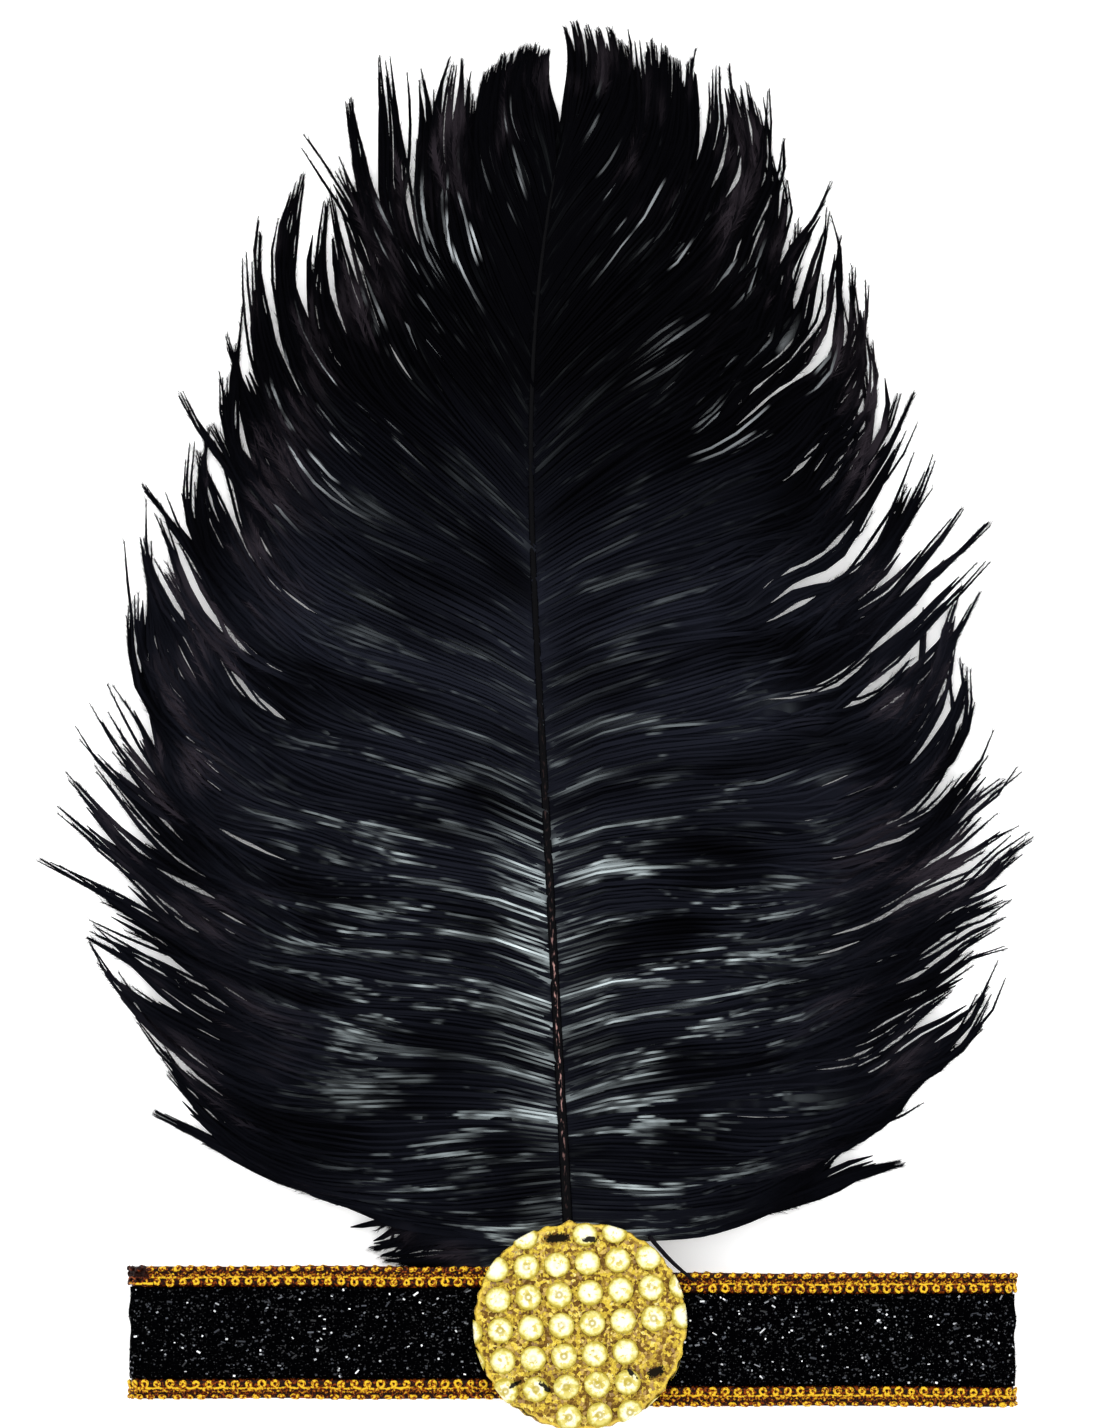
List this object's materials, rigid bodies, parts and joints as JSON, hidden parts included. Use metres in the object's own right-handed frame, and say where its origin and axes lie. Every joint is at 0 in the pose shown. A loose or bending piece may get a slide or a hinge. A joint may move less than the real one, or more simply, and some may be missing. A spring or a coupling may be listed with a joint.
{
  "type": "flapper feather headband",
  "caption": "Elastic headband with gold braid edges, a round padded disc dotted with sequins on its front, and an upright ostrich plume held behind the disc.",
  "frame": {"origin": "on the outer face of the band's back run, behind the middle of the band", "axes": "+X along the band towards the picture's right, +Y towards the plume's tip, +Z out of the front face, away from the surface it lies on"},
  "size_m": [0.2217, 0.3162, 0.0183],
  "materials": {
    "band_web": "black elastic with woven-in glitter",
    "gold_braid": "metallic gold thread over dark red-brown ground",
    "disc_cloth": "mottled metallic gold cloth",
    "sequin": "glossy pale gold",
    "feather": "black dyed ostrich barbs with a bluish sheen",
    "quill": "dark dyed quill, satin"
  },
  "bodies": {
    "root": {"band_web": "band_web", "gold_edge_upper": "gold_braid", "gold_edge_lower": "gold_braid", "feather_shaft": "quill", "feather_vane_left": "feather", "feather_vane_right": "feather", "disc_pad": "disc_cloth", "sequin_01": "sequin", "sequin_02": "sequin", "sequin_03": "sequin", "sequin_04": "sequin", "sequin_05": "sequin", "sequin_06": "sequin", "sequin_07": "sequin", "sequin_08": "sequin", "sequin_09": "sequin", "sequin_10": "sequin", "sequin_11": "sequin", "sequin_12": "sequin", "sequin_13": "sequin", "sequin_14": "sequin", "sequin_15": "sequin", "sequin_16": "sequin", "sequin_17": "sequin", "sequin_18": "sequin", "sequin_19": "sequin", "sequin_20": "sequin", "sequin_21": "sequin", "sequin_22": "sequin", "sequin_23": "sequin", "sequin_24": "sequin", "sequin_25": "sequin", "sequin_26": "sequin", "sequin_27": "sequin"}
  },
  "joints": []
}
